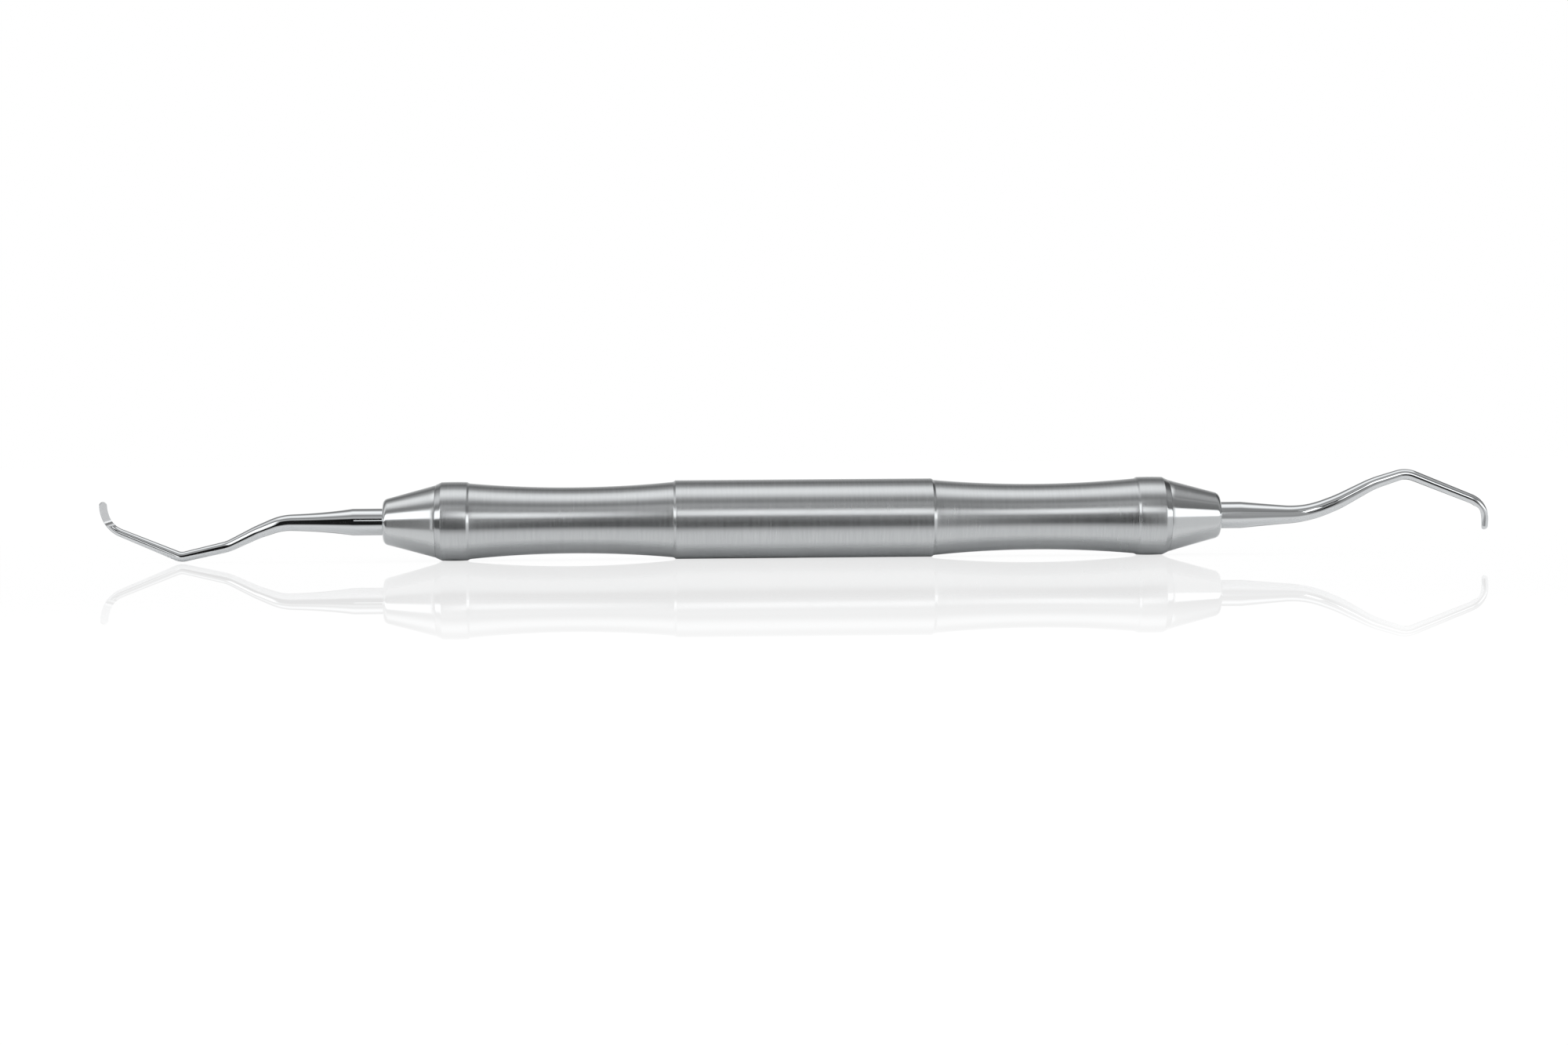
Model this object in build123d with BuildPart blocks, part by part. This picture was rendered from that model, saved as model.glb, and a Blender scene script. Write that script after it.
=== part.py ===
from build123d import *
import os
from math import cos, radians, sin, sqrt
from numpy import interp

# Double-ended hand scaler (periodontal curette), in millimetres.
#
# The handle's long axis is X, +Z is up and the origin is on the axis, at the middle of the handle.
# Five pieces: a hollow turned handle, a cone pressed into each of its ends, and a working end
# (tang, bent shank and blade in one) bonded into each cone. The two working ends are a
# mirror-image pair, set point-opposite each other through the origin.

# ---- handle tube: stations along the axis, from the middle of the handle outwards
BARREL_D = 10.0  # plain centre barrel and the two collars
BARREL_END = 16.3  # half the barrel's length
WAIST_END = 42.65  # where the waisted grip meets the collar
COLLAR_END = 45.9  # end of the collar's full diameter
TUBE_END = 46.65  # joint face between the tube and its cone
STEP_H = 0.2  # radial height of the turned step at each end of a grip
STEP_L = 0.3  # its length along the axis
WAIST_D = 8.4  # smallest diameter of a grip, at its middle
TUBE_END_D = 9.24  # tube's outer diameter at the joint face, after the end chamfer
BORE_D = 7.2  # the tube's open bore

# ---- cones
CONE_BASE_D = 9.2
CONE_TIP_D = 5.6
CONE_END = 53.3  # front face of the cone
CONE_EDGE_R = 0.5  # rounding round the front face
SPIGOT_L = 7.0  # length pressed into the tube
SPIGOT_LEAD = 0.4  # lead-in chamfer on the spigot's end
SOCKET_DEPTH = 10.5  # blind bore for the tang, from the front face
DRILL_POINT = 1.0  # depth of the drill's conical bottom
GROOVE_W = 0.8  # adhesive grooves, round the spigot and round the tang
GROOVE_DEPTH = 0.15

# ---- working ends
SHANK_D = 3.4  # tang and the straight start of the shank
TANG_DEPTH = 9.5  # length of the tang inside the cone
TANG_CHAMFER = 0.3
TAPER_MID = 60.0  # station and diameter half-way down the hollow taper
TAPER_MID_D = 2.7
BLADE_D = 1.02  # the blade's width across its flat face
BLADE_L = 2.7  # length of the face, from heel to toe
TOE_L = 0.5  # length over which the back and the sides round off to the toe
TOE_STOP = 0.95  # share of that length after which the toe is left blunt
FACE_OFFSET = 0.05  # height of the flat face above the blade's centre line
FACE_TILT = 40.0  # degrees that the face is turned out of the shank's plane
WHEEL_R = 0.8  # radius of the grinding wheel's edge, which leaves a hollow at the face's heel
HEEL_L = 0.2  # where that hollow starts, from the heel towards the toe
WHEEL_CLEAR = 1.2  # how far the wheel's path reaches above and past the face

# Each working end is laid out in its own (out, up, side) directions: out along the handle's axis
# away from the handle, up towards the outside of the last bend, side towards the blade's face.
# "corners" are the corners of the shank's centre line before they are rounded to "radii", and the
# last point is the toe of the blade. "sizes" are the shank's diameters at those points.
WORKING_ENDS = {
    "left": {
        "direction": -1,
        "taper_start": 57.1,
        "bend_start": 64.6,
        "corners": [
            (66.0, 0.0, 0.0),
            (69.2, 1.2, -0.3),
            (72.85, 2.95, -0.6),
            (78.85, 4.3, -0.9),
            (88.0, 0.6, -2.55),
            (88.75, -1.45, -2.25),
            (88.75, -2.75, -1.85),
        ],
        "radii": [7.0, 9.0, 6.0, 1.8, 3.2, 4.0],
        "sizes": [2.12, 2.0, 1.66, 1.42, 1.27, 0.98, BLADE_D, BLADE_D],
    },
    "right": {
        "direction": 1,
        "taper_start": 56.1,
        "bend_start": 62.0,
        "corners": [
            (64.6, 0.0, 0.0),
            (68.6, 1.57, -0.45),
            (73.05, 3.9, -0.8),
            (77.3, 5.25, -1.0),
            (86.35, 1.5, -2.5),
            (87.25, -0.1, -2.2),
            (87.2, -2.05, -1.8),
        ],
        "radii": [13.0, 16.0, 12.0, 3.0, 2.9, 2.7],
        "sizes": [2.36, 2.12, 1.92, 1.55, 1.36, 1.16, BLADE_D, BLADE_D],
    },
}
SHANK_SECTIONS = 48  # loft sections along a bent shank
TOE_SECTIONS = 5  # loft sections that round off the toe

os.makedirs("parts", exist_ok=True)


# ---- handle tube: one outline of half the tube, turned about the axis and mirrored
barrel_r = BARREL_D / 2
step_r = barrel_r - STEP_H
with BuildPart() as handle_tube:
    with BuildSketch(Plane.XY):
        with BuildLine():
            Polyline((0, BORE_D / 2), (0, barrel_r), (BARREL_END, barrel_r), (BARREL_END + STEP_L, step_r))
            ThreePointArc(
                (BARREL_END + STEP_L, step_r),
                ((BARREL_END + WAIST_END) / 2, WAIST_D / 2),
                (WAIST_END - STEP_L, step_r),
            )
            Polyline(
                (WAIST_END - STEP_L, step_r),
                (WAIST_END, barrel_r),
                (COLLAR_END, barrel_r),
                (TUBE_END, TUBE_END_D / 2),
                (TUBE_END, BORE_D / 2),
                (0, BORE_D / 2),
            )
        make_face()
    revolve(axis=Axis.X)
    mirror(about=Plane.YZ)
handle_tube.part.label = "handle_tube"
export_step(handle_tube.part, "parts/handle_tube.step")


# ---- cones: spigot, cone and blind tang socket turned in one piece
def make_cone(side, direction):
    spigot_r = BORE_D / 2
    spigot_end = TUBE_END - SPIGOT_L
    groove = TUBE_END - SPIGOT_L / 2
    socket_end = CONE_END - SOCKET_DEPTH
    with BuildPart() as cone:
        with BuildSketch(Plane.XY):
            with BuildLine():
                Polyline(
                    (direction * (socket_end - DRILL_POINT), 0),
                    (direction * spigot_end, 0),
                    (direction * spigot_end, spigot_r - SPIGOT_LEAD),
                    (direction * (spigot_end + SPIGOT_LEAD), spigot_r),
                    (direction * (groove - GROOVE_W / 2), spigot_r),
                    (direction * (groove - GROOVE_W / 2), spigot_r - GROOVE_DEPTH),
                    (direction * (groove + GROOVE_W / 2), spigot_r - GROOVE_DEPTH),
                    (direction * (groove + GROOVE_W / 2), spigot_r),
                    (direction * TUBE_END, spigot_r),
                    (direction * TUBE_END, CONE_BASE_D / 2),
                    (direction * CONE_END, CONE_TIP_D / 2),
                    (direction * CONE_END, SHANK_D / 2),
                    (direction * socket_end, SHANK_D / 2),
                    (direction * (socket_end - DRILL_POINT), 0),
                )
            face = make_face()
            front_corners = face.vertices().sort_by(Axis.X)[::direction][-2:]
            fillet(front_corners.sort_by(Axis.Y)[-1], radius=CONE_EDGE_R)
        revolve(axis=Axis.X)
    cone.part.label = "cone_" + side
    export_step(cone.part, "parts/cone_" + side + ".step")


# ---- working ends: tang and taper turned about the axis, then a bent shank that ends in the blade
def make_working_end(side, direction, taper_start, bend_start, corners, radii, sizes):
    def place(out, up, sideways):
        return Vector(direction * out, direction * sideways, direction * up)

    # centre line: straight runs joined by tangent arcs, one arc for each corner
    points = [place(bend_start, 0, 0)] + [place(*corner) for corner in corners]
    with BuildLine() as route:
        FilletPolyline(*points, radius=radii)
    path = route.wires()[0]
    if (path @ 0 - points[0]).length > (path @ 1 - points[0]).length:
        path = Wire([edge.reversed() for edge in path.edges()][::-1])
    arcs = path.edges().filter_by(GeomType.CIRCLE)
    stations = [0] + sorted(path.param_at_point(arc @ 0.5) for arc in arcs) + [1]
    toe_start = 1 - TOE_L / path.length

    def section_plane(t):
        tangent = path % t
        return Plane(origin=path @ t, x_dir=tangent.cross(Vector(0, 1, 0)), z_dir=tangent)

    # the flat face runs from heel to toe, on the inside of the last bend but turned to the side
    heel_at = 1 - BLADE_L / path.length
    heel = path @ heel_at
    blade = (path @ 1 - heel).normalized()
    inner = (path % heel_at) * -1
    inner = (inner - blade * inner.dot(blade)).normalized()
    across = blade.cross(inner)
    if across.dot(place(0, 0, 1)) < 0:
        across = across * -1
    face_normal = inner * cos(radians(FACE_TILT)) + across * sin(radians(FACE_TILT))
    face_plane = Plane(
        origin=heel + face_normal * FACE_OFFSET, x_dir=blade, z_dir=blade.cross(face_normal)
    )

    socket_back = CONE_END - TANG_DEPTH
    groove = CONE_END - TANG_DEPTH / 2
    shank_r = SHANK_D / 2
    groove_r = shank_r - GROOVE_DEPTH
    with BuildPart() as working_end:
        with BuildSketch(Plane.XY):
            with BuildLine():
                Polyline(
                    (direction * bend_start, sizes[0] / 2),
                    (direction * bend_start, 0),
                    (direction * socket_back, 0),
                    (direction * socket_back, shank_r - TANG_CHAMFER),
                    (direction * (socket_back + TANG_CHAMFER), shank_r),
                    (direction * (groove - GROOVE_W / 2), shank_r),
                    (direction * (groove - GROOVE_W / 2), groove_r),
                    (direction * (groove + GROOVE_W / 2), groove_r),
                    (direction * (groove + GROOVE_W / 2), shank_r),
                    (direction * taper_start, shank_r),
                )
                ThreePointArc(
                    (direction * taper_start, shank_r),
                    (direction * TAPER_MID, TAPER_MID_D / 2),
                    (direction * bend_start, sizes[0] / 2),
                )
            make_face()
        revolve(axis=Axis.X)
        for i in range(SHANK_SECTIONS + 1):
            t = toe_start * i / SHANK_SECTIONS
            with BuildSketch(section_plane(t)):
                Circle(float(interp(t, stations, sizes)) / 2)
        for i in range(1, TOE_SECTIONS + 1):
            share = TOE_STOP * i / TOE_SECTIONS
            with BuildSketch(section_plane(toe_start + (1 - toe_start) * share)):
                Circle(BLADE_D / 2 * sqrt(1 - share ** 2))
        loft()
        with BuildSketch(face_plane):
            with BuildLine():
                Polyline(
                    (HEEL_L, 0),
                    (BLADE_L + WHEEL_CLEAR, 0),
                    (BLADE_L + WHEEL_CLEAR, WHEEL_CLEAR),
                    (HEEL_L - WHEEL_R, WHEEL_CLEAR),
                    (HEEL_L - WHEEL_R, WHEEL_R),
                )
                RadiusArc((HEEL_L - WHEEL_R, WHEEL_R), (HEEL_L, 0), -WHEEL_R)
            make_face()
        extrude(amount=BLADE_D, both=True, mode=Mode.SUBTRACT)
    working_end.part.label = "working_end_" + side
    export_step(working_end.part, "parts/working_end_" + side + ".step")
    print(side, "centre line", round(path.length, 2), "mm, volume", round(working_end.part.volume, 2), "mm3")


for side, layout in WORKING_ENDS.items():
    make_cone(side, layout["direction"])
    make_working_end(side, **layout)
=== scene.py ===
from math import copysign, cos, pi, radians, sin, sqrt, tan

import bmesh
import bpy
from mathutils import Matrix, Vector


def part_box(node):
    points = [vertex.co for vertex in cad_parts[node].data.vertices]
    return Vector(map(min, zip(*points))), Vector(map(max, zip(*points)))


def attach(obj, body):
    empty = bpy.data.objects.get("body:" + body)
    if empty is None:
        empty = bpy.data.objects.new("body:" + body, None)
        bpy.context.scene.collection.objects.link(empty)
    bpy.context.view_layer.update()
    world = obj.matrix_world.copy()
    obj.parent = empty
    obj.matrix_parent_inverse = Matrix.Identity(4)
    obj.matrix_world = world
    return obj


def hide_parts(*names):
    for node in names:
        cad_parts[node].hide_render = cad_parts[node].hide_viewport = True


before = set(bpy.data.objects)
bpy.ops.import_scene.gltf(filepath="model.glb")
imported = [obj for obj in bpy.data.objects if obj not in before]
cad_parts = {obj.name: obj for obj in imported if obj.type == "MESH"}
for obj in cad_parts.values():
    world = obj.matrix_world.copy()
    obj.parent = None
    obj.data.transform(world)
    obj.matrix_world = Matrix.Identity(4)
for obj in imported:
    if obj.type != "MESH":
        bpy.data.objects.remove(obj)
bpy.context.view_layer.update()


# ---- camera
# A short telephoto at the height of the bench, a little left of the handle's middle, square to the
# handle but for a few degrees.
handle_low, handle_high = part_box("handle_tube")
handle_mid = (handle_low + handle_high) / 2
CAMERA_DISTANCE = 0.42
CAMERA_SIDE = -0.0235
CAMERA_RISE = 0.0095
CAMERA_ROLL = radians(-0.405)
FIELD_WIDTH = 0.1994  # width of the picture at the handle's middle
SENSOR_WIDTH = 36.0
AIM = Vector((-0.0025, 0.0, -0.00049))  # what the camera looks at, from the handle's middle

camera_data = bpy.data.cameras.new("camera")
camera = bpy.data.objects.new("camera", camera_data)
bpy.context.scene.collection.objects.link(camera)
camera.location = handle_mid + Vector((CAMERA_SIDE, -CAMERA_DISTANCE, CAMERA_RISE))
sight = (handle_mid + AIM - camera.location).normalized()
camera.rotation_euler = (sight.to_track_quat("-Z", "Y") @
                         Matrix.Rotation(CAMERA_ROLL, 4, "Z").to_quaternion()).to_euler()
camera_data.sensor_width = SENSOR_WIDTH
camera_data.lens = SENSOR_WIDTH * CAMERA_DISTANCE / FIELD_WIDTH
camera_data.clip_start = 0.01
camera_data.clip_end = 20.0
camera_data.dof.use_dof = False
bpy.context.scene.camera = camera
bpy.context.scene.view_settings.view_transform = "Standard"


# ---- handle tube
# One length of 10 mm stainless tube, turned to a plain barrel, two waisted grips and two collars,
# with its steps left as narrow chamfers, then satin-brushed round and round. The bore is open from
# end to end and the cones are pressed into it.
MM = 0.001  # pieces are modelled in millimetres and brought to metres when they are finished
BARREL_R = 5.0
BARREL_END = 16.3
WAIST_END = 42.65
WAIST_R = 4.2
STEP_H, STEP_L = 0.2, 0.3
COLLAR_END = 45.9
COLLAR_CROWN = 0.03  # the collars' brushed edges fall away by this much
TUBE_END = 46.65
TUBE_END_R = 4.62
BORE_R = 3.6
BARREL_EDGE = 0.05  # how far each edge is broken, from the barrel outwards
STEP_EDGE = 0.08
COLLAR_EDGE = 0.07
CHAMFER_EDGE = 0.06
JOINT_EDGE = 0.04
EDGE_HELD = 0.15  # how near to an edge a straight surface is held straight
WAIST_STEPS = 44  # segments along the curve of a grip
COLLAR_STEPS = 8
TURN_STEPS = 192  # segments round a turned piece
EDGE_STEPS = 3  # segments across a broken edge
SHARP_ANGLE = radians(25)  # edges over this angle are shaded as edges
SAME_POINT = 1e-4  # points nearer than this are one point


def arc_between(start, middle_r, end, steps):
    """Points of a shallow arc from start to end, middle_r from the axis half-way, without its ends."""
    half = (end[0] - start[0]) / 2
    sag = start[1] - middle_r
    bend_r = (half * half + sag * sag) / (2 * sag)
    points = []
    for i in range(1, steps):
        along = -half + 2 * half * i / steps
        rise = bend_r - copysign(sqrt(bend_r * bend_r - along * along), bend_r)
        points.append((start[0] + half + along, middle_r + rise, 0))
    return points


def along_run(start, end, held):
    """Two points on a straight run, a little in from its ends, that keep its surface straight."""
    share = held / sqrt((end[0] - start[0]) ** 2 + (end[1] - start[1]) ** 2)
    return [(start[0] + (end[0] - start[0]) * part, start[1] + (end[1] - start[1]) * part, 0)
            for part in (share, 1 - share)]


def turn_on_lathe(outline):
    """Turns an outline about X. Its points are (along the axis, radius, size of the broken edge there),
    and it is closed on itself unless it starts and ends on the axis."""
    shape = bmesh.new()
    corners = [shape.verts.new((x, 0.0, r)) for x, r, broken in outline]
    hollow = outline[0][1] > 0
    for i in range(len(corners) if hollow else len(corners) - 1):
        shape.edges.new((corners[i], corners[(i + 1) % len(corners)]))
    for corner, (x, r, broken) in zip(corners, outline):
        if broken:
            bmesh.ops.bevel(shape, geom=[corner], offset=broken, offset_type="OFFSET",
                            segments=EDGE_STEPS, profile=0.5, affect="VERTICES", material=-1)
    bmesh.ops.spin(shape, geom=shape.verts[:] + shape.edges[:], cent=(0, 0, 0), axis=(1, 0, 0),
                   dvec=(0, 0, 0), angle=2 * pi, steps=TURN_STEPS, use_merge=True)
    bmesh.ops.remove_doubles(shape, verts=shape.verts, dist=SAME_POINT)
    bmesh.ops.recalc_face_normals(shape, faces=shape.faces)
    return shape


def finish_piece(name, shape, material):
    """Brings a shape in millimetres to metres, as an object with its material and its sharp edges."""
    bmesh.ops.scale(shape, vec=(MM, MM, MM), verts=shape.verts)
    mesh = bpy.data.meshes.new(name)
    shape.to_mesh(mesh)
    shape.free()
    for polygon in mesh.polygons:
        polygon.use_smooth = True
    mesh.set_sharp_from_angle(angle=SHARP_ANGLE)
    mesh.materials.append(material)
    piece = bpy.data.objects.new(name, mesh)
    bpy.context.scene.collection.objects.link(piece)
    return piece


def put(tree, kind, inputs=None, **settings):
    """Adds a node. settings are its options, and inputs gives its sockets a value or what to link."""
    made = tree.nodes.new("ShaderNode" + kind)
    for name, value in settings.items():
        setattr(made, name, value)
    for name, value in (inputs or {}).items():
        if isinstance(value, bpy.types.NodeSocket):
            tree.links.new(value, made.inputs[name])
        else:
            made.inputs[name].default_value = value
    return made


def new_group(name, inputs, outputs):
    """A node group with its inputs, (name, type, value), and outputs, (name, type)."""
    group = bpy.data.node_groups.new(name, "ShaderNodeTree")
    for label, kind, value in inputs:
        socket = group.interface.new_socket(label, in_out="INPUT", socket_type="NodeSocket" + kind)
        if value is not None:
            socket.default_value = value
    for label, kind in outputs:
        group.interface.new_socket(label, in_out="OUTPUT", socket_type="NodeSocket" + kind)
    return group, group.nodes.new("NodeGroupInput").outputs, group.nodes.new("NodeGroupOutput").inputs


def new_metal(name):
    """A bare metal: its material, its tree, its shader and its object coordinates."""
    material = bpy.data.materials.new(name)
    material.use_nodes = True
    tree = material.node_tree
    shader = tree.nodes["Principled BSDF"]
    shader.inputs["Metallic"].default_value = 1.0
    return material, tree, shader, put(tree, "TexCoord").outputs["Object"]


def shade_between(tree, share, dark, light):
    """A colour between a dark and a light one, which are a Mix node's sockets 6 and 7."""
    mixed = put(tree, "Mix", {"Factor": share, 6: dark, 7: light}, data_type="RGBA")
    return mixed.outputs[2]


def stretch_gloss(tree, shader, amount):
    """Draws the gloss out along the axis, a quarter turn from the lines that run round it."""
    shader.inputs["Anisotropic"].default_value = amount
    shader.inputs["Anisotropic Rotation"].default_value = 0.25
    round_axis = put(tree, "Tangent", direction_type="RADIAL", axis="X")
    tree.links.new(round_axis.outputs[0], shader.inputs["Tangent"])


# Fine lines that run round the axis: the marks of brushing, or of the lathe's tool. Coarser bands are
# mixed into their tone and their roughness, but not into their height.
LINE_ROUGHNESS = 0.62  # how much of the noise is in its finest lines
BAND_STRETCH = (0.13, 0.6, 0.6)  # bands for each line, along the axis and across it
BAND_SHARE = 0.12
lathe_lines, into, out = new_group(
    "lathe_lines",
    [("Position", "Vector", None), ("Lines per metre", "Float", 4000.0),
     ("Breaks per metre", "Float", 90.0), ("Roughness", "Float", 0.3), ("Spread", "Float", 0.1)],
    [("Height", "Float"), ("Tone", "Float"), ("Roughness", "Float")])
stretch = put(lathe_lines, "CombineXYZ", {"X": into["Lines per metre"], "Y": into["Breaks per metre"],
                                          "Z": into["Breaks per metre"]})
stretched = put(lathe_lines, "VectorMath", {0: into["Position"], 1: stretch.outputs[0]},
                operation="MULTIPLY")
lines = put(lathe_lines, "TexNoise", {"Vector": stretched.outputs[0], "Scale": 1.0, "Detail": 4.0,
                                      "Roughness": LINE_ROUGHNESS})
coarser = put(lathe_lines, "VectorMath", {0: stretched.outputs[0], 1: BAND_STRETCH},
              operation="MULTIPLY")
bands = put(lathe_lines, "TexNoise", {"Vector": coarser.outputs[0], "Scale": 1.0, "Detail": 2.0})
tone = put(lathe_lines, "Mix", {"Factor": BAND_SHARE, "A": lines.outputs["Fac"],
                                "B": bands.outputs["Fac"]})
swing = put(lathe_lines, "Math", {0: tone.outputs["Result"], 1: 0.5}, operation="SUBTRACT")
rough = put(lathe_lines, "Math", {0: swing.outputs[0], 1: into["Spread"], 2: into["Roughness"]},
            operation="MULTIPLY_ADD")
lathe_lines.links.new(lines.outputs["Fac"], out["Height"])
lathe_lines.links.new(tone.outputs["Result"], out["Tone"])
lathe_lines.links.new(rough.outputs[0], out["Roughness"])

# What hands and cassettes leave on steel: soft smudges, and a few hairline scratches, mostly lengthways.
SMUDGES_PER_METRE = 150.0
SMUDGE_THIN, SMUDGE_THICK = 0.35, 0.7
SCRATCHES_PER_METRE = (90.0, 900.0, 900.0)  # along the steel and across it
SCRATCH_LEAN = radians(14)
SCRATCH_WIDTH = 0.02  # share of the space between two scratches
SCRATCHED_PER_METRE = 320.0  # the patches that have scratches
SCRATCHED_FROM, SCRATCHED_FULLY = 0.56, 0.68
handling_marks, into, out = new_group(
    "handling_marks",
    [("Position", "Vector", None), ("Roughness", "Float", 0.3), ("Smudge", "Float", 0.03),
     ("Scratch", "Float", 0.1)],
    [("Roughness", "Float")])
cloud = put(handling_marks, "TexNoise", {"Vector": into["Position"], "Scale": SMUDGES_PER_METRE,
                                         "Detail": 3.0, "Roughness": 0.55})
smudge = put(handling_marks, "MapRange", {"Value": cloud.outputs["Fac"], "From Min": SMUDGE_THIN,
                                          "From Max": SMUDGE_THICK, "To Min": -1.0, "To Max": 1.0},
             interpolation_type="SMOOTHSTEP")
long_cells = put(handling_marks, "VectorMath", {0: into["Position"], 1: SCRATCHES_PER_METRE},
                 operation="MULTIPLY")
leaning = put(handling_marks, "VectorRotate", {"Vector": long_cells.outputs[0], "Angle": SCRATCH_LEAN},
              rotation_type="Z_AXIS")
cells = put(handling_marks, "TexVoronoi", {"Vector": leaning.outputs[0], "Scale": 1.0},
            feature="DISTANCE_TO_EDGE")
hairline = put(handling_marks, "MapRange", {"Value": cells.outputs["Distance"], "From Min": 0.0,
                                            "From Max": SCRATCH_WIDTH, "To Min": 1.0, "To Max": 0.0})
patches = put(handling_marks, "TexNoise", {"Vector": into["Position"], "Scale": SCRATCHED_PER_METRE,
                                           "Detail": 1.0})
few = put(handling_marks, "MapRange", {"Value": patches.outputs["Fac"], "From Min": SCRATCHED_FROM,
                                       "From Max": SCRATCHED_FULLY})
scratches = put(handling_marks, "Math", {0: hairline.outputs[0], 1: few.outputs[0]},
                operation="MULTIPLY")
smudged = put(handling_marks, "Math", {0: smudge.outputs[0], 1: into["Smudge"], 2: into["Roughness"]},
              operation="MULTIPLY_ADD")
marked = put(handling_marks, "Math", {0: scratches.outputs[0], 1: into["Scratch"], 2: smudged.outputs[0]},
             operation="MULTIPLY_ADD")
handling_marks.links.new(marked.outputs[0], out["Roughness"])

SATIN_DARK = (0.535, 0.55, 0.56, 1.0)
SATIN_LIGHT = (0.68, 0.70, 0.712, 1.0)
SATIN_ROUGHNESS = 0.25
CHAMFER_ROUGHNESS = 0.15  # the end chamfers are cut after the brushing
BRUSHING_DEPTH = 4e-6  # metres

satin_steel, tree, shader, position = new_metal("satin_steel")
brushing = put(tree, "Group", node_tree=lathe_lines)
tree.links.new(position, brushing.inputs["Position"])
brushing.inputs["Lines per metre"].default_value = 4600.0
brushing.inputs["Breaks per metre"].default_value = 260.0
brushing.inputs["Roughness"].default_value = SATIN_ROUGHNESS
brushing.inputs["Spread"].default_value = 0.13
handling = put(tree, "Group", node_tree=handling_marks)
tree.links.new(position, handling.inputs["Position"])
tree.links.new(brushing.outputs["Roughness"], handling.inputs["Roughness"])
handling.inputs["Smudge"].default_value = 0.006
handling.inputs["Scratch"].default_value = 0.0
along_handle = put(tree, "SeparateXYZ", {0: position}).outputs["X"]
from_middle = put(tree, "Math", {0: along_handle}, operation="ABSOLUTE")
chamfered = put(tree, "Math", {0: from_middle.outputs[0], 1: COLLAR_END * MM}, operation="GREATER_THAN")
roughness = put(tree, "Mix", {"Factor": chamfered.outputs[0], "A": handling.outputs["Roughness"],
                              "B": CHAMFER_ROUGHNESS})
colour = shade_between(tree, brushing.outputs["Tone"], SATIN_DARK, SATIN_LIGHT)
tree.links.new(colour, shader.inputs["Base Color"])
tree.links.new(roughness.outputs["Result"], shader.inputs["Roughness"])
brushed = put(tree, "Bump", {"Strength": 0.18, "Distance": BRUSHING_DEPTH,
                             "Height": brushing.outputs["Height"]})
tree.links.new(brushed.outputs[0], shader.inputs["Normal"])
stretch_gloss(tree, shader, 0.65)

step_r = BARREL_R - STEP_H
collar_r = BARREL_R - COLLAR_CROWN
half_outside = [
    (BARREL_END - EDGE_HELD, BARREL_R, 0),
    (BARREL_END, BARREL_R, BARREL_EDGE),
    (BARREL_END + STEP_L, step_r, STEP_EDGE),
    *arc_between((BARREL_END + STEP_L, step_r), WAIST_R, (WAIST_END - STEP_L, step_r), WAIST_STEPS),
    (WAIST_END - STEP_L, step_r, STEP_EDGE),
    (WAIST_END, collar_r, COLLAR_EDGE),
    *arc_between((WAIST_END, collar_r), BARREL_R, (COLLAR_END, collar_r), COLLAR_STEPS),
    (COLLAR_END, collar_r, CHAMFER_EDGE),
    *along_run((COLLAR_END, collar_r), (TUBE_END, TUBE_END_R), EDGE_HELD),
    (TUBE_END, TUBE_END_R, JOINT_EDGE),
]
outside = [(-x, r, broken) for x, r, broken in reversed(half_outside)] + half_outside
bore = [(TUBE_END, BORE_R, 0), (-TUBE_END, BORE_R, 0)]
tube = finish_piece("satin_handle", turn_on_lathe(outside + bore), satin_steel)
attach(tube, "root")
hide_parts("handle_tube")


# ---- cones
# Two plugs turned from stainless bar. Each is a spigot with a glue groove, pressed into the tube, and
# a cone with a rounded nose, bored blind to take the tang. Finer turned than the handle, and brighter.
CONE_BASE_R = 4.6
CONE_TIP_R = 2.8
CONE_END = 53.3
CONE_EDGE = 0.5  # rounding of the nose
BASE_EDGE, MOUTH_EDGE = 0.05, 0.06  # broken edges at the cone's base and round the mouth of its socket
CONE_HELD = 0.65  # how near to its ends the cone is held straight, past the rounding of the nose
SPIGOT_L = 7.0
SPIGOT_LEAD = 0.4
SOCKET_R = 1.7
SOCKET_DEPTH = 10.5
DRILL_POINT = 1.0
GROOVE_W = 0.8
GROOVE_DEPTH = 0.15
BRIGHT_DARK = (0.60, 0.615, 0.625, 1.0)
BRIGHT_LIGHT = (0.745, 0.765, 0.775, 1.0)
BRIGHT_ROUGHNESS = 0.17
TURNING_DEPTH = 2e-6  # metres

bright_steel, tree, shader, position = new_metal("bright_turned_steel")
turning = put(tree, "Group", node_tree=lathe_lines)
tree.links.new(position, turning.inputs["Position"])
turning.inputs["Lines per metre"].default_value = 9000.0
turning.inputs["Breaks per metre"].default_value = 25.0
turning.inputs["Roughness"].default_value = BRIGHT_ROUGHNESS
turning.inputs["Spread"].default_value = 0.1
handling = put(tree, "Group", node_tree=handling_marks)
tree.links.new(position, handling.inputs["Position"])
tree.links.new(turning.outputs["Roughness"], handling.inputs["Roughness"])
handling.inputs["Smudge"].default_value = 0.02
handling.inputs["Scratch"].default_value = 0.1
colour = shade_between(tree, turning.outputs["Tone"], BRIGHT_DARK, BRIGHT_LIGHT)
tree.links.new(colour, shader.inputs["Base Color"])
tree.links.new(handling.outputs["Roughness"], shader.inputs["Roughness"])
turned = put(tree, "Bump", {"Strength": 0.3, "Distance": TURNING_DEPTH,
                            "Height": turning.outputs["Height"]})
tree.links.new(turned.outputs[0], shader.inputs["Normal"])
stretch_gloss(tree, shader, 0.7)

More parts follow.
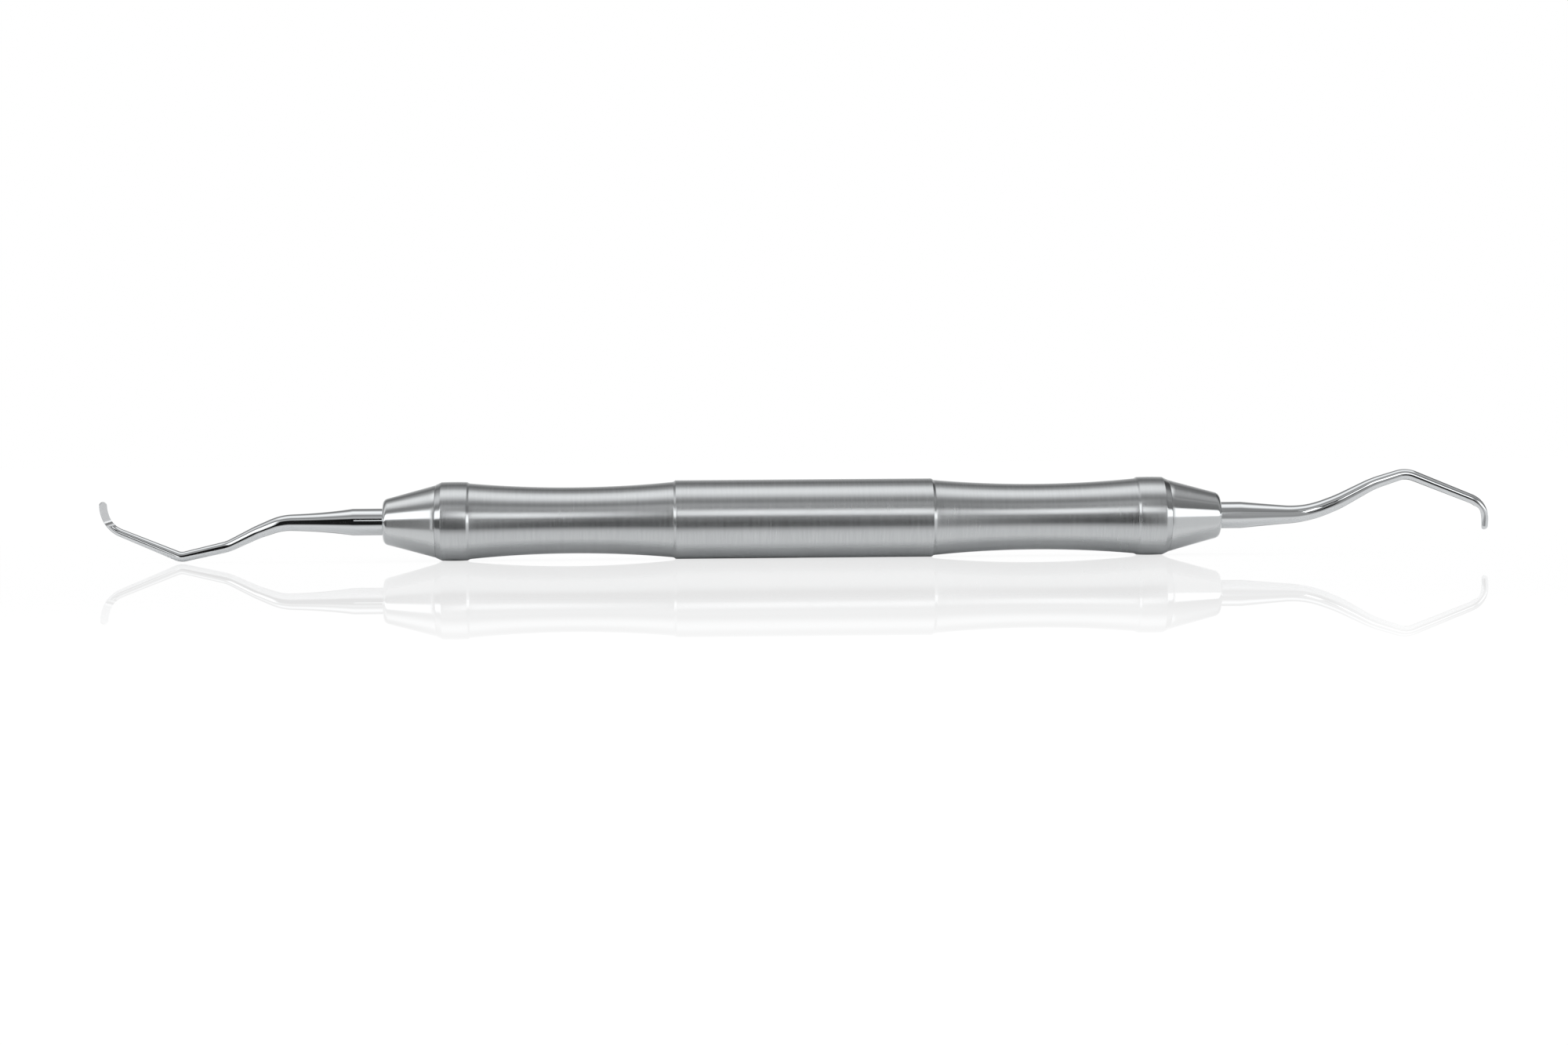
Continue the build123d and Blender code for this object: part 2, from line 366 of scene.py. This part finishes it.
spigot_end = TUBE_END - SPIGOT_L
groove = TUBE_END - SPIGOT_L / 2
socket_end = CONE_END - SOCKET_DEPTH
cone_outline = [
    (spigot_end, 0, 0),
    (spigot_end, BORE_R - SPIGOT_LEAD, 0),
    (spigot_end + SPIGOT_LEAD, BORE_R, 0),
    (groove - GROOVE_W / 2, BORE_R, 0),
    (groove - GROOVE_W / 2, BORE_R - GROOVE_DEPTH, 0),
    (groove + GROOVE_W / 2, BORE_R - GROOVE_DEPTH, 0),
    (groove + GROOVE_W / 2, BORE_R, 0),
    (TUBE_END, BORE_R, 0),
    (TUBE_END, CONE_BASE_R, BASE_EDGE),
    *along_run((TUBE_END, CONE_BASE_R), (CONE_END, CONE_TIP_R), CONE_HELD),
    (CONE_END, CONE_TIP_R, CONE_EDGE),
    (CONE_END, SOCKET_R, MOUTH_EDGE),
    (socket_end, SOCKET_R, 0),
    (socket_end - DRILL_POINT, 0, 0),
]
for side, direction in (("left", -1), ("right", 1)):
    outline = [(direction * x, r, broken) for x, r, broken in cone_outline]
    cone = finish_piece("turned_cone_" + side, turn_on_lathe(outline), bright_steel)
    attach(cone, "root")
    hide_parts("cone_" + side)


# ---- working ends
# Each is one forging of stainless steel: a grooved tang glued in its cone, a tapered shank bent to
# reach round a tooth, and a spoon blade with a rounded back and toe. Mirror polished, then the blade's
# flat face is ground by the edge of a wheel, which leaves a hollow at its heel.
TANG_DEPTH = 9.5
TANG_CHAMFER = 0.3
TAPER_MID = 60.0
TAPER_MID_R = 1.35
TAPER_STEPS = 28
BLADE_D = 1.02  # the blade's width across its flat face
BLADE_L = 2.7  # length of the face, from heel to toe
TOE_L = 0.5  # length over which the blade rounds off to the toe
TOE_STOP = 0.985  # share of that length after which the toe is left blunt
TOE_STEP = 0.22  # each step along the toe is this share of what is left
FACE_OFFSET = 0.05  # height of the flat face above the blade's centre line
FACE_TILT = radians(40)  # how far the face is turned out of the shank's plane
WHEEL_R = 0.8
WHEEL_STEPS = 20
HEEL_L = 0.2  # where the wheel's hollow starts, from the heel towards the toe
WHEEL_CLEAR = 1.2
RING_SEGMENTS = 128
LONGEST_STEP = 0.22
NOTHING = 1e-6  # a length too short to draw
# A facet was ground if its middle is as near as this to where the wheel went.
ALONG_BLADE = 0.01
OFF_FACE = 0.004
OFF_HOLLOW = 0.006
# Each end's corners are (out along the handle's axis, up, sideways), before they are rounded to its
# bends. The last is the toe. Its sizes are the diameters where the bends start, at the middle of each
# bend and at the toe.
WORKING_ENDS = {
    "left": {
        "direction": -1,
        "taper_start": 57.1,
        "bend_start": 64.6,
        "corners": [(66.0, 0.0, 0.0), (69.2, 1.2, -0.3), (72.85, 2.95, -0.6), (78.85, 4.3, -0.9),
                    (88.0, 0.6, -2.55), (88.72, -1.45, -2.25), (88.72, -2.75, -1.85)],
        "bends": [7.0, 9.0, 6.0, 1.8, 3.2, 4.0],
        "sizes": [2.12, 2.0, 1.66, 1.42, 1.27, 0.98, BLADE_D, BLADE_D],
    },
    "right": {
        "direction": 1,
        "taper_start": 56.1,
        "bend_start": 62.0,
        "corners": [(64.6, 0.0, 0.0), (68.6, 1.57, -0.45), (73.05, 3.9, -0.8), (77.3, 5.25, -1.0),
                    (86.35, 1.5, -2.5), (87.24, -0.1, -2.2), (87.19, -2.05, -1.8)],
        "bends": [13.0, 16.0, 12.0, 3.0, 2.9, 2.7],
        "sizes": [2.36, 2.12, 1.92, 1.55, 1.36, 1.16, BLADE_D, BLADE_D],
    },
}
POLISHED = (0.76, 0.78, 0.795, 1.0)
GROUND = (0.62, 0.63, 0.64, 1.0)
POLISHED_ROUGHNESS = 0.06
GROUND_ROUGHNESS = 0.27
GROUND_SPREAD = 0.12  # how far the wheel's marks spread that roughness
WHEEL_MARKS_PER_METRE = 26000.0
RIPPLES_PER_METRE = 420.0  # what polishing by hand leaves
RIPPLE_DEPTH = 4e-5  # metres

polished_steel, tree, shader, position = new_metal("polished_steel")
handling = put(tree, "Group", node_tree=handling_marks)
tree.links.new(position, handling.inputs["Position"])
handling.inputs["Roughness"].default_value = POLISHED_ROUGHNESS
handling.inputs["Smudge"].default_value = 0.018
handling.inputs["Scratch"].default_value = 0.05
wheel_marks = put(tree, "TexNoise", {"Vector": position, "Scale": WHEEL_MARKS_PER_METRE, "Detail": 2.0})
wheel_rough = put(tree, "Math", {0: wheel_marks.outputs["Fac"], 1: GROUND_SPREAD,
                                 2: GROUND_ROUGHNESS - GROUND_SPREAD / 2}, operation="MULTIPLY_ADD")
ground = put(tree, "Attribute", attribute_name="ground")
roughness = put(tree, "Mix", {"Factor": ground.outputs["Fac"], "A": handling.outputs["Roughness"],
                              "B": wheel_rough.outputs[0]})
tree.links.new(roughness.outputs["Result"], shader.inputs["Roughness"])
colour = shade_between(tree, ground.outputs["Fac"], POLISHED, GROUND)
tree.links.new(colour, shader.inputs["Base Color"])
ripple = put(tree, "TexNoise", {"Vector": position, "Scale": RIPPLES_PER_METRE, "Detail": 1.0})
polishing = put(tree, "Bump", {"Strength": 0.25, "Distance": RIPPLE_DEPTH,
                               "Height": ripple.outputs["Fac"]})
tree.links.new(polishing.outputs[0], shader.inputs["Normal"])


def between(value, stations, sizes):
    """The size at a value, in line between the stations on either side of it."""
    for i in range(len(stations) - 1):
        if value <= stations[i + 1]:
            share = (value - stations[i]) / (stations[i + 1] - stations[i])
            return sizes[i] + (sizes[i + 1] - sizes[i]) * share
    return sizes[-1]


def taper_radius(x, start, middle, end):
    """The radius at x of the smooth curve through three (x, radius) points."""
    total = 0
    points = (start, middle, end)
    for i, (xi, ri) in enumerate(points):
        others = [points[j][0] for j in range(3) if j != i]
        total += ri * (x - others[0]) * (x - others[1]) / ((xi - others[0]) * (xi - others[1]))
    return total


def bent_route(points, bends):
    """The moves along the straight runs and round the bends, as (length, turn, axis of the turn)."""
    moves = []
    used = 0
    for i, bend_r in enumerate(bends):
        arriving = (points[i + 1] - points[i]).normalized()
        leaving = (points[i + 2] - points[i + 1]).normalized()
        turn = arriving.angle(leaving)
        taken = bend_r * tan(turn / 2)
        moves.append(((points[i + 1] - points[i]).length - used - taken, 0, None))
        moves.append((bend_r * turn, turn, arriving.cross(leaving).normalized()))
        used = taken
    moves.append(((points[-1] - points[-2]).length - used, 0, None))
    return moves


def grind_face(shape, heel, blade, normal):
    """Cuts the flat face and the hollow at its heel with a wheel, and marks what was ground."""
    across = blade.cross(normal)
    origin = heel + normal * FACE_OFFSET
    profile = [(BLADE_L + WHEEL_CLEAR, 0), (BLADE_L + WHEEL_CLEAR, WHEEL_CLEAR),
               (HEEL_L - WHEEL_R, WHEEL_CLEAR)]
    for i in range(WHEEL_STEPS + 1):
        angle = pi + pi / 2 * i / WHEEL_STEPS
        profile.append((HEEL_L + WHEEL_R * cos(angle), WHEEL_R + WHEEL_R * sin(angle)))
    wheel = bmesh.new()
    rim = [wheel.verts.new(origin + blade * u + normal * v - across * BLADE_D) for u, v in profile]
    side = wheel.faces.new(rim)
    swept = bmesh.ops.extrude_face_region(wheel, geom=[side])["geom"]
    bmesh.ops.translate(wheel, vec=across * 2 * BLADE_D,
                        verts=[v for v in swept if isinstance(v, bmesh.types.BMVert)])
    bmesh.ops.recalc_face_normals(wheel, faces=wheel.faces)
    blocks = []
    for part in (shape, wheel):
        mesh = bpy.data.meshes.new("forging")
        part.to_mesh(mesh)
        part.free()
        block = bpy.data.objects.new("forging", mesh)
        bpy.context.scene.collection.objects.link(block)
        blocks.append(block)
    cut = blocks[0].modifiers.new("grind", "BOOLEAN")
    cut.operation = "DIFFERENCE"
    cut.solver = "EXACT"
    cut.object = blocks[1]
    ground_block = blocks[0].evaluated_get(bpy.context.evaluated_depsgraph_get())
    cut_mesh = bpy.data.meshes.new_from_object(ground_block)
    shape = bmesh.new()
    shape.from_mesh(cut_mesh)
    for block in blocks:
        mesh = block.data
        bpy.data.objects.remove(block)
        bpy.data.meshes.remove(mesh)
    bpy.data.meshes.remove(cut_mesh)
    ground_by_wheel = shape.faces.layers.float.new("ground")
    for face in shape.faces:
        from_origin = face.calc_center_median() - origin
        along, above = from_origin.dot(blade), from_origin.dot(normal)
        to_wheel = sqrt((along - HEEL_L) ** 2 + (above - WHEEL_R) ** 2)
        flat = along > HEEL_L - ALONG_BLADE and abs(above) < OFF_FACE
        hollow = along < HEEL_L + ALONG_BLADE and abs(to_wheel - WHEEL_R) < OFF_HOLLOW
        face[ground_by_wheel] = 1.0 if flat or hollow else 0.0
    return shape


def forge_working_end(direction, taper_start, bend_start, corners, bends, sizes):
    """Draws a round bar out from its tang, through taper and bends, to the toe, then grinds the face."""
    def place(out, up, sideways):
        return Vector((direction * out, direction * sideways, direction * up))

    def pull(length, to_r, turn=0.0, axis=None):
        """Draws the bar's end on by a length, turned about an axis, and brings it to a radius."""
        nonlocal end, here, heading, bar_r
        drawn = bmesh.ops.extrude_face_region(shape, geom=[end])["geom"]
        if end != tang_face:
            bmesh.ops.delete(shape, geom=[end], context="FACES_ONLY")
        end = next(part for part in drawn if isinstance(part, bmesh.types.BMFace))
        ring = end.verts[:]
        if turn:
            centre = here + axis.cross(heading) * length / turn
            swing = Matrix.Rotation(turn, 3, axis)
            bmesh.ops.rotate(shape, verts=ring, cent=centre, matrix=swing)
            here = centre + swing @ (here - centre)
            heading = swing @ heading
        else:
            bmesh.ops.translate(shape, verts=ring, vec=heading * length)
            here = here + heading * length
        bmesh.ops.scale(shape, verts=ring, vec=Vector((1, 1, 1)) * to_r / bar_r,
                        space=Matrix.Translation(-here))
        bar_r = to_r

    shape = bmesh.new()
    heading = place(1, 0, 0)
    tang_end = CONE_END - TANG_DEPTH
    here = place(tang_end, 0, 0)
    bar_r = SOCKET_R - TANG_CHAMFER
    stand = Matrix.Translation(here) @ heading.to_track_quat("Z", "Y").to_matrix().to_4x4()
    bmesh.ops.create_circle(shape, cap_ends=True, segments=RING_SEGMENTS, radius=bar_r, matrix=stand)
    shape.faces.ensure_lookup_table()
    tang_face = shape.faces[0]
    end = tang_face
    tang_groove = tang_end + TANG_DEPTH / 2 - GROOVE_W / 2
    pull(TANG_CHAMFER, SOCKET_R)
    pull(tang_groove - tang_end - TANG_CHAMFER, SOCKET_R)
    pull(0, SOCKET_R - GROOVE_DEPTH)
    pull(GROOVE_W, SOCKET_R - GROOVE_DEPTH)
    pull(0, SOCKET_R)
    pull(taper_start - tang_groove - GROOVE_W - LONGEST_STEP, SOCKET_R)
    pull(LONGEST_STEP, SOCKET_R)
    for i in range(1, TAPER_STEPS + 1):
        x = taper_start + (bend_start - taper_start) * i / TAPER_STEPS
        pull((bend_start - taper_start) / TAPER_STEPS, taper_radius(
            x, (taper_start, SOCKET_R), (TAPER_MID, TAPER_MID_R), (bend_start, sizes[0] / 2)))

    moves = bent_route([here] + [place(*corner) for corner in corners], bends)
    total = sum(length for length, turn, axis in moves)
    stations = [0]
    reached = 0
    for length, turn, axis in moves:
        if turn:
            stations.append(reached + length / 2)
        reached += length
    stations.append(total)
    toe_start = total - TOE_L
    heel_at = total - BLADE_L
    stop = toe_start + TOE_L * TOE_STOP
    travelled = 0
    for length, turn, axis in moves:
        goal = min(travelled + length, stop)
        while travelled < goal - NOTHING:
            step = min(goal - travelled, LONGEST_STEP)
            if travelled < heel_at - NOTHING:
                step = min(step, heel_at - travelled)
            elif travelled > toe_start - NOTHING:
                step = min(step, TOE_STEP * (total - travelled))
            elif travelled + step > toe_start:
                step = toe_start - travelled
            travelled += step
            to_r = between(travelled, stations, sizes) / 2
            if travelled > toe_start:
                to_r = BLADE_D / 2 * sqrt(1 - ((travelled - toe_start) / TOE_L) ** 2)
            pull(step, to_r, turn * step / length, axis)
            if abs(travelled - heel_at) < NOTHING:
                heel, heel_heading = here, heading
    bmesh.ops.recalc_face_normals(shape, faces=shape.faces)

    blade = (place(*corners[-1]) - heel).normalized()
    inner = -heel_heading
    inner = (inner - blade * inner.dot(blade)).normalized()
    across = blade.cross(inner)
    if across.dot(place(0, 0, 1)) < 0:
        across = -across
    return grind_face(shape, heel, blade, inner * cos(FACE_TILT) + across * sin(FACE_TILT))


for side, layout in WORKING_ENDS.items():
    working_end = finish_piece("polished_end_" + side, forge_working_end(**layout), polished_steel)
    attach(working_end, "root")
    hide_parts("working_end_" + side)


# ---- floor
# A plain white sheet with a clear gloss. It shows a weak image of the instrument, which fades away from
# it on all sides, and a faint contact shadow. The steel sees only the strip of it under the handle.
FLOOR_HALF = 2.0
FLOOR_WHITE = 1.03
FLOOR_SHADE = 0.1  # how much of that white shadows can take away
FLOOR_GLOSS = 0.25
IMAGE_NEAR, IMAGE_FAR = 0.08, 0.25  # how far from the axis the image starts to fade, and has gone
IMAGE_REACH = 0.06  # how much further along the axis than across it the image goes
SEEN_WHITE = 0.8  # the floor's white as the steel sees it
SEEN_NEAR, SEEN_FAR = 0.0025, 0.0048  # half the width of that strip, and where its edge has faded out

sheet = bmesh.new()
bmesh.ops.create_grid(sheet, x_segments=1, y_segments=1, size=FLOOR_HALF,
                      matrix=Matrix.Translation((0, 0, handle_low.z)))
floor_mesh = bpy.data.meshes.new("floor")
sheet.to_mesh(floor_mesh)
sheet.free()
floor = bpy.data.objects.new("floor", floor_mesh)
bpy.context.scene.collection.objects.link(floor)
white_sheet = bpy.data.materials.new("white_sheet")
white_sheet.use_nodes = True
tree = white_sheet.node_tree
tree.nodes.clear()
glow = put(tree, "Emission", {"Color": (1, 1, 1, 1), "Strength": FLOOR_WHITE - FLOOR_SHADE})
paper = put(tree, "BsdfDiffuse", {"Color": (FLOOR_SHADE, FLOOR_SHADE, FLOOR_SHADE, 1)})
white = put(tree, "AddShader", {0: glow.outputs[0], 1: paper.outputs[0]})
gloss = put(tree, "BsdfAnisotropic", {"Color": (1, 1, 1, 1), "Roughness": 0.0})
place_on_floor = put(tree, "SeparateXYZ", {0: put(tree, "TexCoord").outputs["Object"]})
off_axis = put(tree, "Math", {0: place_on_floor.outputs["Y"]}, operation="ABSOLUTE")
off_middle = put(tree, "Math", {0: place_on_floor.outputs["X"]}, operation="ABSOLUTE")
past_reach = put(tree, "Math", {0: off_middle.outputs[0], 1: IMAGE_REACH}, operation="SUBTRACT")
away = put(tree, "Math", {0: off_axis.outputs[0], 1: past_reach.outputs[0]}, operation="MAXIMUM")
fade = put(tree, "MapRange", {"Value": away.outputs[0], "From Min": IMAGE_NEAR, "From Max": IMAGE_FAR,
                              "To Min": FLOOR_GLOSS, "To Max": 0.0}, interpolation_type="SMOOTHSTEP")
seen_by_camera = put(tree, "MixShader", {0: fade.outputs[0], 1: white.outputs[0], 2: gloss.outputs[0]})
near = put(tree, "MapRange", {"Value": off_axis.outputs[0], "From Min": SEEN_NEAR, "From Max": SEEN_FAR,
                              "To Min": 1.0, "To Max": 0.0}, interpolation_type="SMOOTHSTEP")
shaded_paper = put(tree, "BsdfDiffuse", {"Color": (SEEN_WHITE, SEEN_WHITE, SEEN_WHITE, 1)})
seen_by_steel = put(tree, "MixShader", {0: near.outputs[0], 1: put(tree, "BsdfTransparent").outputs[0],
                                        2: shaded_paper.outputs[0]})
sheet_shader = put(tree, "MixShader", {0: put(tree, "LightPath").outputs["Is Glossy Ray"],
                                       1: seen_by_camera.outputs[0], 2: seen_by_steel.outputs[0]})
tree.links.new(sheet_shader.outputs[0], put(tree, "OutputMaterial").inputs["Surface"])
floor_mesh.materials.append(white_sheet)


# ---- light
# A white tent lit from outside. Seen from the instrument it is bright above and behind, with a black
# card round the lens. A strip light leans across that card for the handle, and a light at either side
# carries it on for the two cones.

# The tent's brightness goes by the angle about the instrument's axis, in degrees: 0 is towards the
# camera, 90 is straight up, -90 straight down and 180 behind.
TENT = [(-180, 1.0), (-131, 0.55), (-113, 0.55), (-99, 0.58), (-86, 0.7), (-64, 0.78), (-45, 0.76),
        (-35, 0.68), (-26, 0.36), (-15, 0.33), (0, 0.39), (17, 0.38), (35, 0.42), (45, 0.55), (54, 0.24),
        (64, 0.4), (75, 0.9), (86, 1.2), (99, 1.12), (113, 0.45), (131, 0.18), (150, 0.4), (180, 1.0)]
TENT_PEAK = 1.2
STRIP_LEAN = 0.7  # degrees about the axis for each degree along it

world = bpy.data.worlds.new("light_tent")
world.use_nodes = True
bpy.context.scene.world = world
tree = world.node_tree
tree.nodes.clear()
towards = put(tree, "SeparateXYZ", {0: put(tree, "TexCoord").outputs["Generated"]})
to_front = put(tree, "Math", {0: towards.outputs["Y"], 1: -1.0}, operation="MULTIPLY")
angle = put(tree, "Math", {0: towards.outputs["Z"], 1: to_front.outputs[0]}, operation="ARCTAN2")
around = put(tree, "Math", {0: angle.outputs[0]}, operation="DEGREES").outputs[0]
lean = put(tree, "Math", {0: towards.outputs["X"]}, operation="ARCSINE")
sideways = put(tree, "Math", {0: lean.outputs[0]}, operation="DEGREES").outputs[0]
from_strip = put(tree, "Math", {0: sideways, 1: STRIP_LEAN, 2: around}, operation="MULTIPLY_ADD")
along_strip = from_strip.outputs[0]


def within(value, low, high, soft):
    """A mask that is 1 from low to high and 0 beyond, with soft edges."""
    rising = put(tree, "MapRange", {"Value": value, "From Min": low - soft, "From Max": low + soft},
                 interpolation_type="SMOOTHSTEP")
    falling = put(tree, "MapRange", {"Value": value, "From Min": high - soft, "From Max": high + soft,
                                     "To Min": 1.0, "To Max": 0.0}, interpolation_type="SMOOTHSTEP")
    both = put(tree, "Math", {0: rising.outputs[0], 1: falling.outputs[0]}, operation="MULTIPLY")
    return both.outputs[0]


def panel(light, brightness, about, along, soft_about=3.0, soft_along=3.0, across=around, keep=0.0):
    """The light with a panel of the tent, given by its angles about and along the axis, brought to a
    brightness plus the share to keep of what it was."""
    about_axis = within(across, *about, soft_about)
    along_axis = within(sideways, *along, soft_along)
    mask = put(tree, "Math", {0: about_axis, 1: along_axis}, operation="MULTIPLY")
    changed = put(tree, "Math", {0: light, 1: keep, 2: brightness}, operation="MULTIPLY_ADD")
    lit = put(tree, "Mix", {"Factor": mask.outputs[0], "A": light, "B": changed.outputs[0]})
    return lit.outputs["Result"]


share_around = put(tree, "MapRange", {"Value": around, "From Min": -180.0, "From Max": 180.0})
tent = put(tree, "ValToRGB", {"Fac": share_around.outputs[0]})
ramp = tent.color_ramp
while len(ramp.elements) < len(TENT):
    ramp.elements.new(0.5)
for element, (degrees_round, brightness) in zip(ramp.elements, TENT):
    element.position = degrees_round / 360 + 0.5
    element.color = (brightness / TENT_PEAK,) * 3 + (1.0,)
light = put(tree, "Math", {0: tent.outputs["Color"], 1: TENT_PEAK}, operation="MULTIPLY").outputs[0]
# the ceiling darkens towards the right, and so does the front above the lens
light = panel(light, 0.0, (68, 150), (25, 95), keep=0.37)
light = panel(light, 0.08, (30, 66), (25, 95), keep=0.62)
# a white card left of the lens
light = panel(light, 1.1, (-26, 16), (-30, -22.8), soft_along=0.7)
# the ceiling darkens a little towards the left
light = panel(light, 0.0, (60, 108), (-95, -26), keep=0.75)
# a darker band low down behind
light = panel(light, 0.0, (-150, -110), (-14, 16), keep=0.4)
# the front just above the lens darkens on the right
light = panel(light, 0.0, (30, 50), (9.7, 95), soft_along=1.0, keep=0.55)
# a grey card at the left and a white one at the right
light = panel(light, 0.11, (-27, 8), (-95, -30))
light = panel(light, 0.72, (-50, -2), (26, 95))
# the black card round the lens
light = panel(light, 0.01, (-23, 30.5), (-22.5, 9.7), soft_about=1.5, soft_along=0.7)
# the strip light that leans across it, with its spill below and its tail at the left
light = panel(light, 0.2, (-1, 14), (-3.2, 9.7), soft_along=0.5, across=along_strip)
light = panel(light, 2.1, (14, 30.5), (-3.2, 9.7), soft_about=1.5, soft_along=0.5, across=along_strip)
light = panel(light, 1.0, (10, 17), (-5.0, -3.2), soft_about=1.5, soft_along=0.3)
# the lights for the left cone and the right one
light = panel(light, 1.7, (13, 43.5), (-95, -26))
light = panel(light, 1.7, (-4, 28), (28, 95), soft_about=2.0)
# what looks at the tent itself, or is lit by it without gloss, sees plain white
ray = put(tree, "LightPath")
seen_directly = put(tree, "Math", {0: ray.outputs["Is Camera Ray"], 1: ray.outputs["Is Diffuse Ray"]},
                    operation="MAXIMUM")
light = put(tree, "Mix", {"Factor": seen_directly.outputs[0], "A": light, "B": 1.0}).outputs["Result"]
background = put(tree, "Background", {"Color": light})
tree.links.new(background.outputs[0], put(tree, "OutputWorld").inputs["Surface"])
